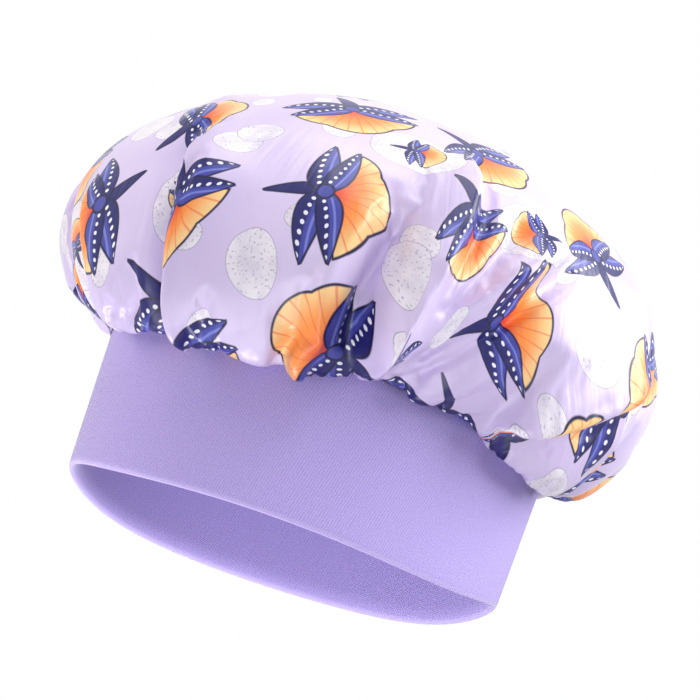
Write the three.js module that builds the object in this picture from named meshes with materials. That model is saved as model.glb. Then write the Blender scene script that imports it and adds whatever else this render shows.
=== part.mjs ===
// A satin hair bonnet, as it sits on a head: a round puffed crown, gathered into a wide stretch band.
// The band is one strip of knit, folded lengthwise over a wide elastic, with the fold as the rim.
// The crown is a gathered disc of satin over a like disc of plain lining.
// The edges of both are sewn to the top of the band in one overlocked seam.
// Sizes are in millimetres. The origin is the centre of the opening, in the plane that the rim rests on.
// +Z runs up to the crown, -X faces the forehead and +X the nape.

import * as THREE from "three";

// Driving sizes of the band
const band_length = 185;
const band_width = 146;
const band_height = 66;
const band_flare = 2.2;
const knit_thickness = 0.9;
const rim_rise_forehead = 6;
const rim_rise_nape = 8;
const rim_taper_height = 8;
const closing_seam_width = 2.6;
const closing_seam_depth = 0.45;

// Driving sizes of the elastic in the band, which ends short of the seam at the band's top
const elastic_thickness = 1.3;
const elastic_floor = 5;
const elastic_below_seam = 7;
const elastic_top = band_height - elastic_below_seam;

// Driving sizes of the crown
const crown_length = 260;
const crown_width = 218;
const crown_top_z = 192;
const crown_widest_z = 107;
const crown_hang = 13;
const crown_edge_lap = 1.8;
const fold_depth = 7;
const satin_thickness = 0.6;
const lining_thickness = 0.5;
const lining_clearance = 0.7;

// Driving sizes of the overlocked seam
const seam_allowance_height = 7;
const gather_wave = 0.5;

// The gap between two layers of cloth that touch
const layer_gap = 0.35;

// Counts
const band_columns = 72;
const seam_columns = 96;
const seam_gathers = 24;

const satin_print = new THREE.MeshStandardMaterial({ color: 0xd9cbea, roughness: 0.35, metalness: 0 });
const satin_plain = new THREE.MeshStandardMaterial({ color: 0xcdbfe6, roughness: 0.4, metalness: 0 });
const knit = new THREE.MeshStandardMaterial({ color: 0xb4a3dc, roughness: 0.85, metalness: 0 });
const elastic_web = new THREE.MeshStandardMaterial({ color: 0xece8f2, roughness: 0.8, metalness: 0 });
const overlock = new THREE.MeshStandardMaterial({ color: 0xc3b4e2, roughness: 0.8, metalness: 0 });

// The whole wall of the band: two plies with the elastic between them
const band_wall = 2 * knit_thickness + 2 * layer_gap + elastic_thickness;

// How far the rim rises off its plane round the band: not over the ears, fully at forehead and nape
function rim_rise(angle) {
  const full_rise = Math.cos(angle) > 0 ? rim_rise_nape : rim_rise_forehead;
  return full_rise * Math.cos(angle) ** 6;
}

// The band stands as an egg: narrower at the nape and wider at the forehead by a share of its width
const egg_share = 0.12;
const oval_point = (angle, half_length, half_width, egg, height) =>
  new THREE.Vector3(
    half_length * Math.cos(angle),
    half_width * Math.sin(angle) * (1 - egg * Math.cos(angle)),
    height,
  );

// A point of the band, from its angle, its height above the rim and how far it lies inside the outer face
function band_point(angle, height, inset) {
  const outward = (band_flare * height) / band_height - inset;
  const lift = rim_rise(angle) * (1 - height / band_height);
  return oval_point(angle, band_length / 2 + outward, band_width / 2 + outward, egg_share, height + lift);
}

const even_angles = (count) => Array.from({ length: count }, (_, i) => (2 * Math.PI * i) / count);

// A closed ring of sections: rows[i] holds the points of section i, in an order that faces out
function ring_geometry(rows) {
  const across = rows[0].length;
  const positions = rows.flat().flatMap((p) => [p.x, p.y, p.z]);
  const faces = [];
  rows.forEach((_, i) => {
    const here = i * across;
    const next = ((i + 1) % rows.length) * across;
    for (let j = 0; j < across; j++) {
      const up = (j + 1) % across;
      faces.push(here + j, next + j, next + up, here + j, next + up, here + up);
    }
  });
  const geometry = new THREE.BufferGeometry();
  geometry.setAttribute("position", new THREE.Float32BufferAttribute(positions, 3));
  geometry.setIndex(faces);
  return geometry;
}

// The fold of knit below the elastic tapers to a thin rim, which rests on a narrow flat.
// Each point is a share of the band's wall, at a share of the taper's height.
const outer_taper_shares = [
  { wall: 0.3, height: 0 },
  { wall: 0.09, height: 0.15 },
  { wall: 0, height: 0.5 },
];
const inner_taper_shares = [
  { wall: 1, height: 1 },
  { wall: 0.91, height: 0.5 },
  { wall: 0.68, height: 0.15 },
  { wall: 0.45, height: 0 },
];

// The band: a strip of knit folded into a U, with the tapered rim and the elastic's channel inside.
// Each point is [inset from the outer face, height above the rim], up the outside and down again within.
function band_section() {
  const inner_ply = band_wall - knit_thickness;
  const channel_floor = elastic_floor - layer_gap;
  const tapered = ({ wall, height }) => [wall * band_wall, height * rim_taper_height];
  return [
    ...outer_taper_shares.map(tapered),
    [0, band_height / 2],
    [0, band_height],
    [knit_thickness, band_height],
    [knit_thickness, band_height / 2],
    [knit_thickness, channel_floor],
    [inner_ply, channel_floor],
    [inner_ply, band_height / 2],
    [inner_ply, band_height],
    [band_wall, band_height],
    [band_wall, band_height / 2],
    ...inner_taper_shares.map(tapered),
  ];
}

// The seam that closes the strip into a loop runs up the nape, as a narrow ditch in both faces
function closing_seam_inset(angle, inset) {
  if (angle !== 0) {
    return 0;
  }
  if (inset <= 0) {
    return closing_seam_depth;
  }
  return inset >= band_wall ? -closing_seam_depth : 0;
}

function make_band() {
  const ditch = closing_seam_width / (band_width * (1 - egg_share));
  const angles = even_angles(band_columns).flatMap((angle) => (angle === 0 ? [-ditch, 0, ditch] : [angle]));
  const rows = angles.map((angle) =>
    band_section().map(([inset, height]) =>
      band_point(angle, height, inset + closing_seam_inset(angle, inset)),
    ),
  );
  return ring_geometry(rows);
}

// The elastic: a loop of flat webbing that fills the fold, with its corners eased
function make_elastic() {
  const outer = knit_thickness + layer_gap;
  const inner = outer + elastic_thickness;
  const ease = elastic_thickness / 4;
  const section = [
    [inner - ease, elastic_floor],
    [outer + ease, elastic_floor],
    [outer, elastic_floor + ease],
    [outer, elastic_top - ease],
    [outer + ease, elastic_top],
    [inner - ease, elastic_top],
    [inner, elastic_top - ease],
    [inner, elastic_floor + ease],
  ];
  const rows = even_angles(band_columns).map((angle) =>
    section.map(([inset, height]) => band_point(angle, height, inset)),
  );
  return ring_geometry(rows);
}

// The raw edges of every layer are overlocked together.
// They stand up inside the crown, wavy from the gathers.
const seam_base_z = band_height + layer_gap;
const crown_edge_inset = knit_thickness / 2;

function make_seam_allowance() {
  const outer = crown_edge_inset + layer_gap;
  const inner = band_wall;
  const ease = (inner - outer) / 5;
  const top = seam_base_z + seam_allowance_height;
  const section = [
    [inner, seam_base_z, 0],
    [outer, seam_base_z, 0],
    [outer + gather_wave, top - ease, 1],
    [outer + gather_wave + ease, top, 1],
    [inner - gather_wave - ease, top, 1],
    [inner - gather_wave, top - ease, 1],
  ];
  const rows = even_angles(seam_columns).map((angle) => {
    const wave = gather_wave * Math.cos(seam_gathers * angle);
    return section.map(([inset, height, wavy]) => {
      const on_band = band_point(angle, band_height, inset + wave * wavy);
      return on_band.setZ(height + (wave + gather_wave) * wavy);
    });
  });
  return ring_geometry(rows);
}

// The crown's rings from the seam to the widest place.
// The cloth leaves the seam level, drops to its underside, and swells out and up from there.
// Each ring is a share of the way out to the widest one, a share of the hang below the seam,
// a share of the swell above the underside, and a share of the fold depth.
const lower_ring_shares = [
  { out: 0.1, hang: 0.7, swell: 0, fold: 0.3 },
  { out: 0.24, hang: 1, swell: 0, fold: 0.6 },
  { out: 0.44, hang: 1, swell: 0.06, fold: 0.85 },
  { out: 0.68, hang: 1, swell: 0.26, fold: 1 },
  { out: 0.9, hang: 1, swell: 0.6, fold: 0.95 },
  { out: 1, hang: 1, swell: 1, fold: 0.8 },
];

// The dome's shoulders stand a little fuller than a plain dome's, which would have a roundness of 1.
// Its rings go by their turn in degrees from the widest place, with their share of the fold depth.
const dome_roundness_share = 0.97;
const dome_rings = [
  { turn: 14, fold_share: 0.55 },
  { turn: 28, fold_share: 0.38 },
  { turn: 42, fold_share: 0.2 },
  { turn: 57, fold_share: 0.06 },
  { turn: 74, fold_share: 0 },
];

// How far the puff hangs round the head, as shares of the most that it hangs below the seam.
// Below zero the cloth rises from the seam at once.
const hang_shares = [
  { turn: 8, hang: 0.1 },
  { turn: 22, hang: -0.3 },
  { turn: 70, hang: 0.3 },
  { turn: 110, hang: 0.4 },
  { turn: 150, hang: -0.9 },
  { turn: 172, hang: -0.75 },
  { turn: 192, hang: -0.1 },
  { turn: 213, hang: 0.65 },
  { turn: 240, hang: 1 },
  { turn: 262, hang: 0.9 },
  { turn: 279, hang: 0.35 },
  { turn: 305, hang: 0.55 },
  { turn: 336, hang: 1 },
  { turn: 350, hang: 0.7 },
];

function hang_at(turn) {
  const past = (from, to) => THREE.MathUtils.euclideanModulo(to - from, 360);
  const here = hang_shares.reduce((a, b) => (past(a.turn, turn) <= past(b.turn, turn) ? a : b));
  const next = hang_shares[(hang_shares.indexOf(here) + 1) % hang_shares.length];
  const way = past(here.turn, turn) / past(here.turn, next.turn);
  return crown_hang * THREE.MathUtils.lerp(here.hang, next.hang, way);
}

// Each ring of the crown before it is folded: its half length and half width, how much of an egg it is,
// its height where nothing hangs, its share of the hang, and its share of the fold depth
function crown_rings() {
  const seam_length = band_length / 2 + band_flare;
  const seam_width = band_width / 2 + band_flare;
  const on_seam = (inset) => ({
    half_length: seam_length - inset,
    half_width: seam_width - inset,
    egg: egg_share,
    height: seam_base_z,
    hang_share: 0,
    fold_share: 0,
  });
  const lower = lower_ring_shares.map((share) => ({
    half_length: THREE.MathUtils.lerp(seam_length, crown_length / 2, share.out),
    half_width: THREE.MathUtils.lerp(seam_width, crown_width / 2, share.out),
    egg: THREE.MathUtils.lerp(egg_share, 0, share.out),
    height: THREE.MathUtils.lerp(seam_base_z, crown_widest_z, share.swell),
    hang_share: share.hang * (1 - share.swell),
    fold_share: share.fold,
  }));
  const dome = dome_rings.map(({ turn, fold_share }) => {
    const angle = THREE.MathUtils.degToRad(turn);
    const reach = Math.cos(angle) ** dome_roundness_share;
    return {
      half_length: (crown_length / 2) * reach,
      half_width: (crown_width / 2) * reach,
      egg: 0,
      height: THREE.MathUtils.lerp(crown_widest_z, crown_top_z, Math.sin(angle)),
      hang_share: 0,
      fold_share,
    };
  });
  return [on_seam(crown_edge_inset), on_seam(-crown_edge_lap), ...lower, ...dome];
}

// The main folds: where the cloth is drawn in at the seam, in degrees round from the nape, how far it
// is drawn, and how many degrees the fold leans on its way to the top.
// A ridge stands midway between two folds, so the crown keeps its full length and width.
const folds = [
  { turn: 16, depth_share: 0.7, lean: 6 },
  { turn: 44, depth_share: 0.9, lean: 8 },
  { turn: 72, depth_share: 0.6, lean: -4 },
  { turn: 101, depth_share: 0.85, lean: -2 },
  { turn: 138, depth_share: 0.65, lean: 4 },
  { turn: 166, depth_share: 0.7, lean: 4 },
  { turn: 203, depth_share: 0.5, lean: -14 },
  { turn: 228, depth_share: 0.9, lean: -14 },
  { turn: 267, depth_share: 0.4, lean: 4 },
  { turn: 286, depth_share: 1, lean: 26 },
  { turn: 314, depth_share: 0.9, lean: 22 },
  { turn: 344, depth_share: 0.5, lean: 4 },
];

// Four columns to a fold: its crease, its shoulder, the ridge, and the shoulder of the next fold.
// Each stands a share of the way to the next fold.
// It takes a share of the depth of the fold here and of the next one.
const column_shares = [
  { way: 0, here: 1, next: 0 },
  { way: 0.24, here: 0.18, next: 0 },
  { way: 0.5, here: 0, next: 0 },
  { way: 0.76, here: 0, next: 0.18 },
];

const crown_columns = folds.flatMap((fold, i) => {
  const next = folds[(i + 1) % folds.length];
  const gap = THREE.MathUtils.euclideanModulo(next.turn - fold.turn, 360);
  return column_shares.map((share) => ({
    turn: fold.turn + share.way * gap,
    lean: THREE.MathUtils.lerp(fold.lean, next.lean, share.way),
    depth_share: share.here * fold.depth_share + share.next * next.depth_share,
  }));
});

// The crown's outer face as rings of points, with each fold drawn in square to the face
function crown_face() {
  const rings = crown_rings();
  const outward = rings.map((ring, i) => {
    const below = rings[Math.max(i - 1, 0)];
    const above = rings[i + 1] ?? { half_length: 0, height: crown_top_z };
    const rise = above.height - below.height;
    const run = below.half_length - above.half_length;
    return new THREE.Vector2(rise, run).normalize();
  });
  return rings.map((ring, i) =>
    crown_columns.map(({ turn, lean, depth_share }) => {
      const leaning_turn = turn + (lean * i) / rings.length;
      const angle = THREE.MathUtils.degToRad(leaning_turn);
      const depth = fold_depth * ring.fold_share * depth_share;
      const inward = depth * outward[i].x;
      const unfolded_z = ring.height - ring.hang_share * hang_at(leaning_turn);
      const height = unfolded_z - depth * outward[i].y;
      return oval_point(angle, ring.half_length - inward, ring.half_width - inward, ring.egg, height);
    }),
  );
}

// The same face as an indexed geometry that ends in one point at the top, with the normals that set how the
// layers lie under each other
function crown_surface() {
  const rings = crown_face();
  const across = crown_columns.length;
  const points = [...rings.flat(), new THREE.Vector3(0, 0, crown_top_z)];
  const top = points.length - 1;
  const faces = [];
  rings.forEach((_, i) => {
    for (let j = 0; j < across; j++) {
      const here = i * across + j;
      const beside = i * across + ((j + 1) % across);
      if (i === rings.length - 1) {
        faces.push(here, beside, top);
      } else {
        faces.push(here, beside, beside + across, here, beside + across, here + across);
      }
    }
  });
  const surface = new THREE.BufferGeometry().setFromPoints(points);
  surface.setIndex(faces);
  surface.computeVertexNormals();
  return surface;
}

// One layer of the crown's cloth: the face sunk to a depth, and again by the cloth's thickness
function make_crown_layer(depth, thickness) {
  const surface = crown_surface();
  const points = surface.getAttribute("position");
  const normals = surface.getAttribute("normal");
  const sunk = (by) =>
    Array.from({ length: points.count }, (_, i) =>
      new THREE.Vector3()
        .fromBufferAttribute(points, i)
        .addScaledVector(new THREE.Vector3().fromBufferAttribute(normals, i), -by),
    );
  const outer_faces = Array.from(surface.index.array);
  const inner_faces = [];
  for (let i = 0; i < outer_faces.length; i += 3) {
    const [a, b, c] = outer_faces.slice(i, i + 3).map((vertex) => vertex + points.count);
    inner_faces.push(a, c, b);
  }
  const edge_faces = [];
  for (let j = 0; j < crown_columns.length; j++) {
    const beside = (j + 1) % crown_columns.length;
    edge_faces.push(j, j + points.count, beside + points.count, j, beside + points.count, beside);
  }
  const layer = new THREE.BufferGeometry().setFromPoints([...sunk(depth), ...sunk(depth + thickness)]);
  layer.setIndex([...outer_faces, ...inner_faces, ...edge_faces]);
  return layer;
}

const bonnet = new THREE.Group();

function add_piece(name, geometry, material) {
  const piece = new THREE.Mesh(geometry, material);
  piece.name = name;
  bonnet.add(piece);
}

add_piece("band_cover", make_band(), knit);
add_piece("band_elastic", make_elastic(), elastic_web);
add_piece("seam_allowance", make_seam_allowance(), overlock);
add_piece("crown_satin", make_crown_layer(0, satin_thickness), satin_print);
const lining_depth = satin_thickness + lining_clearance;
add_piece("crown_lining", make_crown_layer(lining_depth, lining_thickness), satin_plain);

export default bonnet;
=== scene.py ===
# %% [markdown]
# # A satin hair bonnet
#
# The bonnet is sewn from four pieces of cloth and one elastic. A disc of printed satin is gathered
# round its edge to make the puffed crown, and a like disc of plain satin lines it. Both are sewn to a
# strip of stretch knit, which is folded lengthwise over a wide elastic and closed into a loop.
# Each of these is built here as its own piece, from the same few sizes.

import math

import bpy
import numpy as np
from mathutils import Matrix, Vector
from mathutils.bvhtree import BVHTree


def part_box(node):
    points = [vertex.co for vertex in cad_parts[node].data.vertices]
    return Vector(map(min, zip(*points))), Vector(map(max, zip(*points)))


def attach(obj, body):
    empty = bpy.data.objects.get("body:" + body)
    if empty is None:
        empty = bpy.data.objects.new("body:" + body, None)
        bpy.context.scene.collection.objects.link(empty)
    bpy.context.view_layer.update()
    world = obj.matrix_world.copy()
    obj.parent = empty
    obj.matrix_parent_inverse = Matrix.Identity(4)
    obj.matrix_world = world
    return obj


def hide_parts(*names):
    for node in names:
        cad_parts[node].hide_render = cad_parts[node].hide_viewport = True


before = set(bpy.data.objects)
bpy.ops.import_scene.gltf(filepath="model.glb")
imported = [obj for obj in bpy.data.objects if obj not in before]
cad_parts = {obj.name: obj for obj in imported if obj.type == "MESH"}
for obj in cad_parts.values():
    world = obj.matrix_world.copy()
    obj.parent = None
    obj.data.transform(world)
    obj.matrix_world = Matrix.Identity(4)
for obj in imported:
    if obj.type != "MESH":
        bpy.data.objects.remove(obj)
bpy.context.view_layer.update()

# %% [markdown]
# ## Sizes
#
# Lengths are in metres, as Blender wants them, so a millimetre has a name of its own. What the
# construction fixes is read from the frame: the height of the band, the seam, and the size of the crown.

# %% Sizes from the frame
MM = 0.001
_, band_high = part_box("band_cover")
crown_low, crown_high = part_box("crown_satin")
seam_low, seam_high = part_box("seam_allowance")
elastic_low, elastic_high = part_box("band_elastic")

band_height = band_high.z
band_flare = 2.2 * MM
band_half_length = band_high.x - band_flare
band_half_width = 73 * MM
egg_share = 0.12
crown_half_length = (crown_high.x - crown_low.x) / 2
crown_half_width = (crown_high.y - crown_low.y) / 2
crown_top_z = crown_high.z
crown_widest_z = 107 * MM
seam_z = seam_low.z
print(f"band {1000 * band_height:.0f} mm high, crown {2000 * crown_half_length:.0f} mm long")

# %% [markdown]
# ## Helpers for meshes
#
# Every cloth here is a grid of points, so one helper turns a grid into faces and one makes an object
# of points and faces. A grid that goes round the head closes on itself.

# %% From a grid of points to an object
def grid_faces(rows, columns, rows_close=False):
    """Quads between the rows of a grid whose columns close on themselves."""
    faces = []
    for row in range(rows if rows_close else rows - 1):
        above = (row + 1) % rows
        for column in range(columns):
            beside = (column + 1) % columns
            faces.append((
                row * columns + column, row * columns + beside,
                above * columns + beside, above * columns + column,
            ))
    return faces


def add_object(name, data):
    made = bpy.data.objects.new(name, data)
    bpy.context.scene.collection.objects.link(made)
    return made


def make_object(name, points, faces):
    """A smooth shaded mesh object, in place and at its real size."""
    mesh = bpy.data.meshes.new(name)
    mesh.from_pydata(np.asarray(points).reshape(-1, 3).tolist(), [], faces)
    mesh.validate()
    mesh.polygons.foreach_set("use_smooth", [True] * len(mesh.polygons))
    return add_object(name, mesh)


def store_cloth_place(made, places):
    """Keeps where each point lies on the flat cloth, in metres, for weaves and prints."""
    layer = made.data.attributes.new("cloth_place", "FLOAT_VECTOR", "POINT")
    flat = np.zeros((len(made.data.vertices), 3), np.float32)
    flat[:, : places.shape[-1]] = places.reshape(-1, places.shape[-1])
    layer.data.foreach_set("vector", flat.ravel())


def round_head(places, angles):
    """Fills in between a few values, each given at a turn in degrees from the nape."""
    return np.interp(np.degrees(angles), list(places), list(places.values()), period=360)


def blend(low, high, share):
    return low + (high - low) * share


def smooth_step(share):
    kept = np.clip(share, 0, 1)
    return kept * kept * (3 - 2 * kept)


# %% [markdown]
# ## The oval that everything follows
#
# Seen from above, the opening is an oval that is a little narrower at the nape. Angles go round from
# the nape, so the forehead is at half a turn. The rim rises a few millimetres off the table at the
# forehead and the nape, as a soft band does when it is bent round a head.

# %% The oval, and the rise of the rim
rim_rise_forehead = 6 * MM
rim_rise_nape = 8 * MM
rise_power = 6


def oval(angle, half_length, half_width, egg):
    x = half_length * np.cos(angle)
    y = half_width * np.sin(angle) * (1 - egg * np.cos(angle))
    return x, y


def rim_rise(angle):
    full_rise = np.where(np.cos(angle) > 0, rim_rise_nape, rim_rise_forehead)
    return full_rise * np.abs(np.cos(angle)) ** rise_power


def band_point(angle, height, inset):
    """A point of the band: its height above the rim, and how far it lies inside the outer face."""
    outward = band_flare * height / band_height - inset
    x, y = oval(angle, band_half_length + outward, band_half_width + outward, egg_share)
    z = height + rim_rise(angle) * (1 - height / band_height)
    return np.stack(np.broadcast_arrays(x, y, z), -1)


# %% [markdown]
# ## The band cover
#
# A strip of knit folded lengthwise: the fold is the rim, so the cross-section is a long U with a soft
# bottom. It could be a solidified strip, but the two faces differ, so the section is drawn once as a
# closed line and swept round the oval. The elastic ends above the rim, so the fold is thinner there,
# and tapers to a soft edge.

# %% The section of the band
knit_thickness = 0.9 * MM
band_wall = 3.8 * MM
channel_floor = 4.6 * MM
rim_taper_height = 8 * MM
rim_inset_share = 0.3
rim_steps = 9
face_steps = 14
channel_steps = 6
edge_ease = 0.2 * MM
band_columns = 240


def band_section():
    """Insets and heights round the section: up the outer face, down in the channel, and back."""
    rim_inset = rim_inset_share * band_wall
    turns = np.linspace(0, np.pi / 2, rim_steps)
    outer = [(rim_inset * (1 - math.sin(a)), rim_taper_height / 2 * (1 - math.cos(a))) for a in turns]
    inner = [(blend(rim_inset, band_wall, math.sin(a)), rim_taper_height * (1 - math.cos(a))) for a in turns]
    faces_above = np.linspace(rim_taper_height, band_height, face_steps)[1:-1]
    ease = edge_ease
    outer += [(0, height) for height in faces_above]
    outer += [(0, band_height - ease), (ease, band_height)]
    lip = [(knit_thickness - ease, band_height), (knit_thickness, band_height - ease)]
    depths = np.linspace(band_height, channel_floor, channel_steps)[1:]
    channel = [(knit_thickness, height) for height in depths]
    inner += [(band_wall, height) for height in faces_above]
    inner += [(band_wall, band_height - ease), (band_wall - ease, band_height)]
    down = lip + channel
    up = [(band_wall - inset, height) for inset, height in reversed(down)]
    return outer + down + up + inner[:0:-1]


section = band_section()
print(len(section), "points in the band's section")

# %% [markdown]
# The strip is closed into a loop by a seam up the nape. It was sewn inside out and turned, so from
# outside it shows as a narrow ditch. The columns crowd together there, so that the ditch is crisp.

# %% The band cover
closing_seam_half_width = 1.3 * MM
closing_seam_depth = 0.5 * MM
ditch_columns = np.array([-3, -2, -1.3, -0.8, -0.4, 0, 0.4, 0.8, 1.3, 2, 3])
ditch_start = 1 * MM
face_tolerance = 0.1 * MM
strip_height = 30 * MM
strip_inset = 2 * MM


def band_angles():
    ditch = ditch_columns * closing_seam_half_width / band_half_width
    rest = np.linspace(ditch[-1], 2 * np.pi + ditch[0], band_columns)[1:-1]
    return np.concatenate([ditch, rest])


def ditch_depth(angle):
    across = np.sin(angle) * band_half_width / closing_seam_half_width
    near_nape = np.cos(angle) > 0
    return np.where(near_nape, closing_seam_depth * np.exp(-(across ** 2)), 0)


def sweep_section(name, section, angles, ditch=False):
    """Sweeps a closed section of insets and heights round the band."""
    insets = np.array([inset for inset, _ in section])[:, None]
    heights = np.array([height for _, height in section])[:, None]
    if ditch:
        middle = band_wall / 2
        on_face = (np.abs(insets - middle) > middle - face_tolerance) & (heights > ditch_start)
        insets = insets + np.sign(middle - insets) * on_face * ditch_depth(angles)[None]
    points = band_point(angles[None], heights, insets)
    made = make_object(name, points, grid_faces(len(section), len(angles), rows_close=True))
    along = np.concatenate([[0], np.cumsum(np.hypot(*np.diff(np.array(section), axis=0).T))])
    along = np.where(along < along[-1] / 2, along, along - along[-1])
    lengthwise = angles * (band_half_length + band_half_width) / 2
    places = np.stack(np.broadcast_arrays(lengthwise[None], along[:, None]), -1)
    store_cloth_place(made, places)
    return made


angles = band_angles()
band_cover = sweep_section("band_cover_knit", section, angles, ditch=True)
strip_line = band_point(angles, strip_height, strip_inset)[:, :2]

# %% [markdown]
# ## The elastic
#
# A loop of woven webbing fills the fold of the band, and makes it stand smooth. It is hidden, but it
# is a real piece, so it gets its own thickness and eased corners.

# %% The elastic
elastic_thickness = 1.3 * MM
layer_gap = 0.35 * MM
elastic_steps = 24


def elastic_section():
    floor = elastic_low.z
    top = elastic_high.z
    outer = knit_thickness + layer_gap
    inner = outer + elastic_thickness
    ease = elastic_thickness / 4
    rise = [(outer, height) for height in np.linspace(floor + ease, top - ease, elastic_steps)]
    fall = [(inner, height) for _, height in reversed(rise)]
    foot = [(inner - ease, floor), (outer + ease, floor)]
    return [*rise, (outer + ease, top), (inner - ease, top), *fall, *foot]


elastic_angles = np.linspace(0, 2 * np.pi, band_columns + 1)[:-1]
band_elastic = sweep_section("band_elastic_webbing", elastic_section(), elastic_angles)
print(f"the webbing is {1000 * (elastic_high.z - elastic_low.z):.0f} mm wide")

# %% [markdown]
# ## The crown before it is gathered
#
# A line from the seam to the top is turned round the oval. It leaves the seam level, drops to the
# underside of the puff, and swells out and up over the widest place to the top. Its corners are cut
# again and again, which rounds it, and it is then divided into steps that are short at the seam,
# where the folds are fine, and long at the top.

# %% The line from the seam to the top
underside_shares = [
    {"out": 0, "hang": 0, "swell": 0},
    {"out": 0.03, "hang": 0.12, "swell": 0},
    {"out": 0.10, "hang": 0.70, "swell": 0},
    {"out": 0.24, "hang": 1, "swell": 0},
    {"out": 0.44, "hang": 1, "swell": 0.06},
    {"out": 0.68, "hang": 1, "swell": 0.26},
    {"out": 0.90, "hang": 1, "swell": 0.60},
    {"out": 1, "hang": 1, "swell": 1},
]
dome_roundness = 0.97
dome_turns = np.radians(np.linspace(7.5, 90, 12))
line_cuts = 3


def cut_corners(line, times):
    """Rounds a line of points: each cut replaces a corner by two points beside it."""
    for _ in range(times):
        near = 0.75 * line[:-1] + 0.25 * line[1:]
        far = 0.25 * line[:-1] + 0.75 * line[1:]
        line = np.vstack([line[:1], np.stack([near, far], 1).reshape(-1, line.shape[1]), line[-1:]])
    return line


def crown_line():
    """Rows of half length, half width, egg, share of the hang, and height without the hang."""
    seam_length = band_half_length + band_flare
    seam_width = band_half_width + band_flare
    rows = []
    for share in underside_shares:
        rows.append([
            blend(seam_length, crown_half_length, share["out"]),
            blend(seam_width, crown_half_width, share["out"]),
            egg_share * (1 - share["out"]),
            share["hang"] * (1 - share["swell"]),
            blend(seam_z, crown_widest_z, share["swell"]),
        ])
    for turn in dome_turns:
        reach = max(math.cos(turn), 0) ** dome_roundness
        height = blend(crown_widest_z, crown_top_z, math.sin(turn))
        rows.append([crown_half_length * reach, crown_half_width * reach, 0, 0, height])
    return cut_corners(np.array(rows), line_cuts)


# %% The rings of the crown
crown_columns = 320
seam_step = 2.4 * MM
top_step = 6.5 * MM


def crown_rings():
    """The line's rows at the rings, and each ring's distance from the seam along the cloth."""
    line = crown_line()
    mean_reach = (line[:, 0] + line[:, 1]) / 2
    along = np.concatenate([[0], np.cumsum(np.hypot(np.diff(mean_reach), np.diff(line[:, 4])))])
    places = [0]
    while places[-1] < along[-1]:
        places.append(places[-1] + blend(seam_step, top_step, places[-1] / along[-1]))
    places = np.array(places) * along[-1] / places[-1]
    rows = np.stack([np.interp(places, along, column) for column in line.T], 1)
    return rows, places


ring_rows, ring_places = crown_rings()
crown_reach = ring_places[-1]
up_share = ring_places / crown_reach
crown_angles = np.arange(crown_columns) * 2 * np.pi / crown_columns
print(len(ring_places), "rings,", crown_columns, "columns,", f"{1000 * crown_reach:.0f} mm from seam to top")

# %% [markdown]
# How far the puff hangs below the seam differs round the head: it hangs most at the side of the nape,
# and least where a deep gather pulls it up. At the forehead and past the nape it hangs hardly at all,
# and the cloth rises from the seam at once. A few places are given in degrees from the nape, and the
# rest is filled in between them.

# %% The smooth crown
hang_places = {
    8: 1.5 * MM, 22: -4 * MM, 70: 4 * MM, 110: 5 * MM, 150: -12 * MM, 172: -10 * MM, 192: -1 * MM,
    213: 8.5 * MM, 232: 11 * MM, 250: 13 * MM, 262: 12 * MM, 272: 8 * MM, 279: 3.5 * MM,
    287: 6.5 * MM, 305: 7 * MM, 320: 12 * MM, 336: 13 * MM, 348: 8 * MM,
}


def smooth_crown():
    half_length, half_width, egg, hang_share, height = (column[:, None] for column in ring_rows.T)
    x, y = oval(crown_angles[None], half_length, half_width, egg)
    z = height - hang_share * round_head(hang_places, crown_angles)[None]
    return np.stack([x, y, z], -1)


def outward_normals(grid):
    along_ring = (np.roll(grid, -1, 1) - np.roll(grid, 1, 1)) / 2
    up_cloth = np.gradient(grid, axis=0)
    normals = np.cross(along_ring, up_cloth)
    return normals / np.maximum(np.linalg.norm(normals, axis=2, keepdims=True), 1e-12)


crown_start = smooth_crown()
crown_normals = outward_normals(crown_start)
print(f"the puff hangs to {1000 * crown_start[:, :, 2].min():.0f} mm above the table")

# %% [markdown]
# ## Drawing the large folds
#
# A fold of satin is a long ridge with a gentle side and a steep side, because the cloth leans over
# as it is drawn into the seam. Each is drawn as a line on the crown, through places that are given in
# degrees round from the nape and shares of the way up. A fold with a height below zero is a crease.

# %% The large folds
def fold(height, before, after, *path):
    """Its height and the widths of its two sides in millimetres, and the places it runs through."""
    return {"path": path, "height": height * MM, "before": before * MM, "after": after * MM}


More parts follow.
